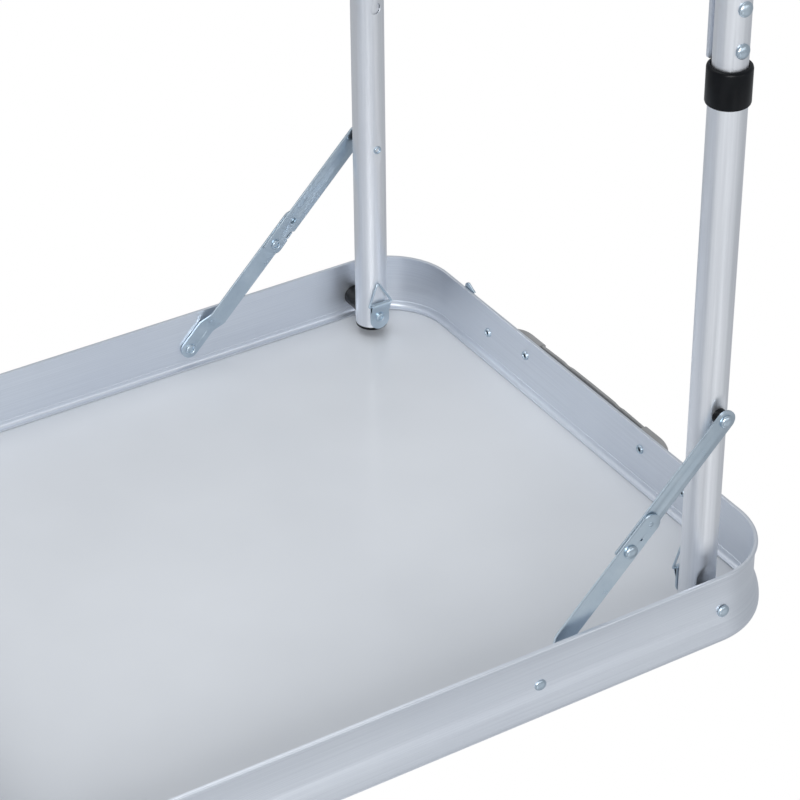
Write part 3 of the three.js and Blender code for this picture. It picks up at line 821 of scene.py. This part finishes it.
# ------------------------------------------------------------------ rings
ring_axis = next(j["pos_m"] for j in frame["joints"] if j["name"] == "d_ring_right_front_swing")
RING_Z = ring_axis[2]
RING_Y = LEG_Y + ring_axis[1]


def wire_ring():
    """Closed triangle of wire, its base at the top and its tip leaning a little to one side."""
    half = (ring_high.x - ring_low.x) / 2 + 0.1 * MM
    drop = RING_Z - ring_low.z + 1.1 * MM
    path = rounded([(-half, 0), (-2.5 * MM, -drop), (half, 0)], [0.9 * MM, 1.8 * MM, 0.9 * MM], 6)
    wire = 0.88 * MM
    rings = []
    for i, point in enumerate(path):
        ahead = Vector(path[(i + 1) % len(path)])
        tangent = (ahead - Vector(path[i - 1])).normalized()
        side = Vector((-tangent.y, 0, tangent.x))
        centre = Vector((point[0], 0, point[1]))
        turn = [2 * pi * k / 14 for k in range(14)]
        rings.append([centre + side * wire * cos(a) + Vector((0, wire * sin(a), 0)) for a in turn])
    return moved(loft(rings, wrap=True), Matrix.Translation((0, RING_Y, RING_Z)))


def ring_strap():
    """Strip folded round the wire: both layers lie on the tube at the rivet and open towards the fold."""
    t = 0.8
    wire_y = RING_Y / MM
    fold = 1.55
    top = PIVOT_Z / MM + 10.5
    base = RING_Z / MM
    seat = 12.1  # inner layer's middle where it lies on the dished tube
    inner = [(seat, top), (seat, base + 6), (wire_y - fold, base + 0.5)]
    bend = [(wire_y + fold * cos(radians(a)), base + fold * sin(radians(a))) for a in range(190, 351, 20)]
    outer = [(wire_y + fold, base + 0.5), (wire_y + 0.7, base + 4.5), (seat + t + 0.05, PIVOT_Z / MM - 4.5),
             (seat + t + 0.05, top)]
    path = [Vector(p) for p in inner + bend + outer]
    left, right = [], []
    for i, point in enumerate(path):
        tangent = (path[min(i + 1, len(path) - 1)] - path[max(i - 1, 0)]).normalized()
        side = Vector((-tangent.y, tangent.x)) * t / 2
        left.append(point + side)
        right.append(point - side)
    section = [(p.x * MM, p.y * MM) for p in left + right[::-1]]
    half = 8.2 * MM
    strip = loft([[Vector((x, y, z)) for y, z in section] for x in (-half, half)])
    low = base * MM - 4 * MM
    outline = rounded([(-half, low), (half, low), (half, top * MM), (-half, top * MM)],
                      [0, 0, 8.2 * MM, 8.2 * MM], 10)
    cutter = loft([[Vector((x, y, z)) for x, z in outline] for y in (8 * MM, 24 * MM)])
    return boolean(strip, cutter, "INTERSECT")


# ------------------------------------------------------------------ braces
def strap_place(x, z, angle):
    """Turns a plate drawn along +X, its thickness along Z, into the leg's XZ plane, its back outwards."""
    a = radians(angle)
    return axes((cos(a), 0, sin(a)), (-sin(a), 0, cos(a)), (0, -1, 0), (x, 0, z))


LOWER_PLACE = strap_place(-BRACE_REACH, PIVOT_Z, -45)
UPPER_PLACE = strap_place(0, PIVOT_Z - BRACE_REACH, 135)


def strap_layers():
    """How far outwards of the leg's axis each strap's middle lies: rim end, knee, upper strap."""
    low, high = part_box("brace_lower_right_front")
    wall = -low.y - LEG_Y - STRAP_T / 2
    knee = -high.y - LEG_Y + STRAP_T / 2
    upper = -(strap_low.y + strap_high.y) / 2 - LEG_Y
    return wall, knee, upper


WALL_LAYER, KNEE_LAYER, UPPER_LAYER = strap_layers()


def brace_lower():
    """Strap from the rim: cranked away from the web, with its lock past the knee."""
    end = STRAP_LENGTH + STRAP_TAIL - STRAP_R
    r = STRAP_R
    outline = arc((0, 0), r, 90, 270, 16) + arc((end, 0), r, -90, 90, 16)
    notch = STRAP_LENGTH + 7 * MM
    holes = [circle((STRAP_LENGTH + 10.5 * MM, 1.6 * MM), 0.9 * MM, 14)]
    bm = plate(outline, STRAP_T, holes)
    slice_across(bm, [(18 + i) * MM for i in range(20)])
    slice_across(bm, [(45 + 8 * i) * MM for i in range(11)])
    for vertex in bm.verts:
        t = min(1, max(0, (vertex.co.x - CRANK_START) / CRANK_LENGTH))
        vertex.co.z += WALL_LAYER + (KNEE_LAYER - WALL_LAYER) * t * t * (3 - 2 * t)
    tab = plate(rounded([(0, 0), (6.5 * MM, 0), (6.5 * MM, 2.2 * MM), (0, 2.2 * MM)],
                        [0, 0, 0.8 * MM, 0.8 * MM]), 1.8 * MM)
    tab_place = axes((1, 0, 0), (0, 0, -1), (0, 1, 0),
                     (notch + 1.5 * MM, r - 1.3 * MM, KNEE_LAYER - 0.6 * MM))
    dimple = turned([(0, 0.5 * MM), (0.9 * MM, 0.5 * MM), (1.9 * MM, 0), (1.9 * MM, -0.3 * MM),
                     (0, -0.3 * MM)], 24)
    dimple_place = axes((1, 0, 0), (0, 1, 0), (0, 0, 1), (end, 0, KNEE_LAYER + STRAP_T / 2))
    return joined(bm, moved(tab, tab_place), moved(dimple, dimple_place))


def brace_upper():
    """Strap from the leg: lock hole and notch above the knee."""
    r = STRAP_R
    knee = STRAP_LENGTH
    outline = arc((0, 0), r, 90, 270, 16)
    notch = -r + 3.2 * MM  # bottom of the notch
    outline += bezier((knee - 17 * MM, -r), (knee - 15.5 * MM, -r), (knee - 15.5 * MM, notch),
                      (knee - 13.8 * MM, notch), 6)
    outline += bezier((knee - 9.8 * MM, notch), (knee - 8.2 * MM, notch), (knee - 8.2 * MM, -r),
                      (knee - 6.6 * MM, -r), 6)
    outline += arc((knee + 1.5 * MM, -r + 6 * MM), 6 * MM, -90, 0, 8)
    outline += arc((knee + 6.2 * MM, r - 1.3 * MM), 1.3 * MM, 0, 90, 4)
    bm = plate(outline, STRAP_T, [circle((knee - 23 * MM, 0), 2.5 * MM, 20)])
    for vertex in bm.verts:
        vertex.co.z += UPPER_LAYER
    return bm


def build_braces():
    on_legs("brace_lower", moved(brace_lower(), LOWER_PLACE))
    on_legs("brace_upper", moved(brace_upper(), UPPER_PLACE))
    half = lambda side, end: f"half_{side}"
    leg = lambda side, end: f"leg_frame_{side}"
    lower = lambda side, end: f"brace_lower_{side}_{end}"
    upper = lambda side, end: f"brace_upper_{side}_{end}"
    knee = (-BRACE_REACH / 2, PIVOT_Z - BRACE_REACH / 2)
    rim_face = -RIM_INSET + WEB_OUTER
    low_z = PIVOT_Z - BRACE_REACH
    out, inward = (0, -1, 0), (0, 1, 0)
    half_t = STRAP_T / 2
    rivets = [
        ("brace_rim_head", rivet_head(4.7 * MM, 2.2 * MM), out,
         (-BRACE_REACH, rim_face + 0.4 * MM, PIVOT_Z), half),
        ("brace_rim_tail", rivet_tail(4.4 * MM, 1.7 * MM), inward,
         (-BRACE_REACH, -WALL_LAYER + half_t, PIVOT_Z), half),
        ("knee_head", rivet_head(5 * MM, 2.9 * MM), out, (knee[0], -KNEE_LAYER - half_t, knee[1]), lower),
        ("knee_tail", rivet_tail(4 * MM, 1.7 * MM), inward, (knee[0], -UPPER_LAYER + half_t, knee[1]), upper),
        ("brace_leg_head", rivet_head(4.8 * MM, 2.8 * MM), out, (0, -UPPER_LAYER - half_t, low_z), upper),
        ("brace_leg_tail", rivet_tail(3.3 * MM, 1.4 * MM), inward, (0, TUBE_R - 0.6 * MM, low_z), leg),
    ]
    for name, bm, direction, place, body in rivets:
        extras_on_legs(name, moved(bm, facing(direction, place)), "zinc_steel", body)
    length = UPPER_LAYER - half_t - TUBE_R + 1.4 * MM
    r = 5.4 * MM
    spacer = turned([(0, 0), (r - 0.4 * MM, 0), (r, 0.4 * MM), (r, length), (0, length)], 32)
    place = facing(inward, (0, -UPPER_LAYER + half_t, low_z))
    extras_on_legs("brace_leg_spacer", moved(spacer, place), "black_plastic", leg)


def build_legs():
    on_legs("outer_tube", outer_tube(), 40)
    on_legs("inner_tube", inner_tube())
    on_legs("collar", collar())
    on_legs("foot", foot())
    on_legs("snap_button", snap_button())
    on_legs("pivot_rivet", pivot_rivet())
    on_legs("pivot_spacer", pivot_spacer())
    on_legs("d_ring", wire_ring())
    leg = lambda side, end: f"leg_frame_{side}"
    foot_body = lambda side, end: f"foot_frame_{side}"
    extras_on_legs("end_plug", end_plug(), "black_plastic", leg)
    extras_on_legs("ring_strap", ring_strap(), "zinc_steel", leg)
    flange_face = LEG_Y - bar_high.y + 2.5 * MM
    for number, z in enumerate((110 * MM, 82 * MM), 1):
        head = moved(rivet_head(5.1 * MM, 3 * MM), facing((0, -1, 0), (0, -INNER_TUBE_R + 0.5 * MM, z)))
        extras_on_legs(f"crossbar_rivet_head_{number}", head, "zinc_steel", foot_body)
        tail = moved(rivet_tail(3.4 * MM, 1.3 * MM), facing((0, 1, 0), (0, flange_face, z)))
        extras_on_legs(f"crossbar_rivet_tail_{number}", tail, "zinc_steel", foot_body)


# ------------------------------------------------------------------ end fittings
UPRIGHT = axes((0, 1, 0), (0, 0, 1), (1, 0, 0))  # a plate's XY plane into YZ, its face towards +X


def latch_hook():
    """Hook hanging from its eye at the origin, open on one side near its tip."""
    reach = 36.5 * MM
    outline = arc((0, 0), 6 * MM, 0, 180, 14)
    outline += arc((0, -reach - 3.5 * MM), 5 * MM, 180, 330, 14)
    mouth = [(5, 2.9), (0.5, 2.9), (0.5, 6.5), (5, 9)]
    outline += rounded([(x * MM, -reach + y * MM) for x, y in mouth],
                       [0.6 * MM, 1.2 * MM, 1.2 * MM, 1 * MM], 4)
    return plate(outline, 1.5 * MM, [circle((0, 0), 2.3 * MM, 20)])


def stud():
    profile = [(0, 0), (2.4 * MM, 0), (2.4 * MM, 1.9 * MM), (4.2 * MM, 2.1 * MM), (4.2 * MM, 2.7 * MM),
               (3.4 * MM, 3.3 * MM), (1.6 * MM, 3.7 * MM), (0, 3.8 * MM)]
    return turned(profile, 36)


def handle_strap():
    """Flat springy strap, a little lower where it bends on its way to each end."""
    low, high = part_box("handle_strap")
    middle_x = (low.x + high.x) / 2
    half_t = (high.x - low.x) / 2 - 0.4 * MM
    full = (high.z - low.z) / 2
    thin_y, thin_reach, thin_depth = 33 * MM, 6 * MM, 0.8 * MM
    rise = 1.2 * MM  # bow of the strap's middle
    rings = []
    steps = 80
    for i in range(steps + 1):
        y = low.y + (high.y - low.y) * i / steps
        off = (abs(y) - thin_y) / thin_reach
        half_z = full - thin_depth * max(0, 1 - off * off) ** 2
        bow = rise * (1 - (y / high.y) ** 2)
        section = rounded([(-half_t, -half_z), (half_t, -half_z), (half_t, half_z), (-half_t, half_z)],
                          [1.1 * MM] * 4, 4)
        centre = Vector((middle_x + bow - rise / 2, y, (low.z + high.z) / 2))
        rings.append([centre + Vector((x, 0, z)) for x, z in section])
    return loft(rings)


def handle_cap():
    """Housing at the strap's end: even for half its length, then rounded down to the rim."""
    low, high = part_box("handle_cap_rear")
    depth = high.x - low.x
    half_z = (high.z - low.z) / 2
    even = 0.45  # share of the length before it curves down
    rings = []
    steps = 30
    for i in range(steps + 1):
        t = sin(pi / 2 * i / steps)
        y = low.y + (high.y - low.y) * t
        fade = sqrt(max(0, 1 - max(0, (t - even) / (1 - even)) ** 2))
        d = depth * max(0.04, fade)
        h = half_z * (0.72 + 0.28 * fade)
        r = min(2.2 * MM, d * 0.45)
        section = rounded([(0, -h), (d, -h), (d, h), (0, h)], [0.2 * MM, r, r, 0.2 * MM], 5)
        rings.append([Vector((low.x + x, y, (low.z + high.z) / 2 + z)) for x, z in section])
    return loft(rings)


def build_end_fittings():
    hook = latch_hook()
    cap = handle_cap()
    for end in ENDS:
        sign = 1 if end == "rear" else -1
        node = f"latch_hook_{end}"
        low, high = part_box(node)
        eye = Vector(((low.x + high.x) / 2, sign * LATCH_Y, LATCH_Z))
        turn = Matrix.Translation(eye) @ Matrix.Rotation(radians(PARKED[end]), 4, "X")
        stand_in(node, hook, turn @ UPRIGHT)
        head = moved(rivet_head(4 * MM, 1.7 * MM), facing((1, 0, 0), (high.x, eye.y, eye.z)))
        shank = moved(bar(2.1 * MM, high.x - HALF_LENGTH + WEB_OUTER),
                      facing((-1, 0, 0), (high.x, eye.y, eye.z)))
        emit(f"latch_rivet_{end}", joined(head, shank), "zinc_steel", "half_right")
        stand_in(f"latch_stud_{end}", stud(),
                 facing((-1, 0, 0), (-HALF_LENGTH + WEB_OUTER - 0.3 * MM, eye.y, STUD_Z)))
        mirror = Matrix.Diagonal((1, sign, 1, 1))
        stand_in(f"handle_cap_{end}", cap, mirror)
        face = HALF_LENGTH - WEB_INNER
        for name, y, z, side in (("latch", LATCH_Y, LATCH_Z, 1), ("handle", HANDLE_Y, HANDLE_Z, 1),
                                 ("stud", LATCH_Y, STUD_Z, -1)):
            place = facing((-side, 0, 0), (side * face, sign * y, z))
            body = "half_right" if side > 0 else "half_left"
            emit(f"{name}_rivet_tail_{end}", moved(rivet_tail(3.7 * MM, 1.6 * MM), place), "zinc_steel", body)
            # A thin black disc in each rolled end's pit is painted shade: it stands in for the darkness of
            # the deep hole, not a real part.
            emit(f"{name}_pit_painted_shade_{end}", moved(bar(1.8 * MM, 0.3 * MM), place), "black_plastic", body)
        screw = moved(rivet_head(3.6 * MM, 1.2 * MM), facing(
            (1, 0, 0), (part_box("handle_cap_rear")[1].x - 1.2 * MM, sign * HANDLE_Y, HANDLE_Z)))
        emit(f"handle_rivet_{end}", screw, "zinc_steel", "half_right")
    stand_in("handle_strap", handle_strap())


# ------------------------------------------------------------------ stage, light and camera
def build_stage():
    mesh = bpy.data.meshes.new("floor")
    reach = 40
    mesh.from_pydata([(-reach, -reach, 0), (reach, -reach, 0), (reach, reach, 0), (-reach, reach, 0)], [],
                     [(0, 1, 2, 3)])
    mesh.materials.append(new_material("floor", 0, Base_Color=(0.82, 0.82, 0.82, 1), Roughness=0.9)[0])
    floor = bpy.data.objects.new("floor", mesh)
    bpy.context.scene.collection.objects.link(floor)
    # The low lights shine up through the floor, which only the camera sees.
    floor.visible_shadow = False
    floor.visible_diffuse = False
    floor.visible_glossy = False


def area_light(name, place, target, size, power, color=(1, 1, 1)):
    light = bpy.data.lights.new(name, "AREA")
    light.shape = "RECTANGLE"
    light.size, light.size_y = size
    light.energy = power
    light.color = color
    holder = bpy.data.objects.new(name, light)
    direction = Vector(target) - Vector(place)
    holder.location = place
    holder.rotation_euler = direction.to_track_quat("-Z", "Y").to_euler()
    bpy.context.scene.collection.objects.link(holder)


def build_world():
    """Dim cool surroundings that look white to the camera."""
    scene = bpy.context.scene
    scene.view_settings.view_transform = "Standard"
    world = bpy.data.worlds.new("studio")
    world.use_nodes = True
    scene.world = world
    tree = world.node_tree
    background = tree.nodes["Background"]
    background.inputs["Strength"].default_value = 0.5
    background.inputs["Color"].default_value = (0.93, 0.96, 1, 1)
    seen = linked(tree, "ShaderNodeBackground", {"Color": (1, 1, 1, 1), "Strength": 1})
    path = linked(tree, "ShaderNodeLightPath")
    choice = linked(tree, "ShaderNodeMixShader", links={
        0: path.outputs["Is Camera Ray"], 1: background.outputs[0], 2: seen.outputs[0]})
    tree.links.new(choice.outputs[0], tree.nodes["World Output"].inputs["Surface"])


def build_light():
    """Large soft lights: name, place, target, size and power in watts."""
    area_light("under_soft", (0.3, -0.6, -2.2), (0.3, 0, 0.5), (2.2, 2.2), 23)
    area_light("camera_side", (-1.1, 2.7, -0.7), (0.35, 0, 0.5), (1.6, 1.2), 62)
    area_light("inside_fill", (1.2, 2.9, -0.15), (0.35, -0.1, 0.5), (2, 0.8), 7)
    area_light("tube_key", (0.35, 3, 2.3), (0.5, 0, 0.4), (0.8, 1.6), 3.2)
    area_light("rim_fill", (1.9, 2.5, 2.2), (0.4, 0, 0.5), (1.8, 1.6), 2.5)
    area_light("corner_fill", (-1.7, 1.4, 1.6), (0.5, 0, 0.5), (1.5, 1.5), 2.5)
    area_light("edge_left", (-1.5, -2.2, -1), (0.3, 0, 0.5), (0.8, 0.6), 3)
    area_light("top_soft", (0, 0, 3), (0, 0, 0.5), (2.2, 2.2), 14)


def build_camera():
    """Looks up at the underside of the right half, upside down, through a long lens."""
    heading, rise, roll = radians(31.4997), radians(33.6703), radians(0.5029)
    look = Vector((sin(heading) * cos(rise), -cos(heading) * cos(rise), sin(rise)))
    level = Vector((cos(heading), sin(heading), 0))
    down = look.cross(level)
    right = level * cos(roll) + down * sin(roll)
    up = right.cross(look)
    data = bpy.data.cameras.new("camera")
    data.sensor_width = 36
    data.lens = 126
    data.clip_start = 1.58
    data.clip_end = 30
    camera = bpy.data.objects.new("camera", data)
    camera.matrix_world = axes(right, up, -look, (-433.8 * MM, 1416.7 * MM, -654.2 * MM))
    bpy.context.scene.collection.objects.link(camera)
    bpy.context.scene.camera = camera


build_camera()
build_trays()
build_hinges()
build_legs()
build_braces()
build_end_fittings()
build_stage()
build_world()
build_light()
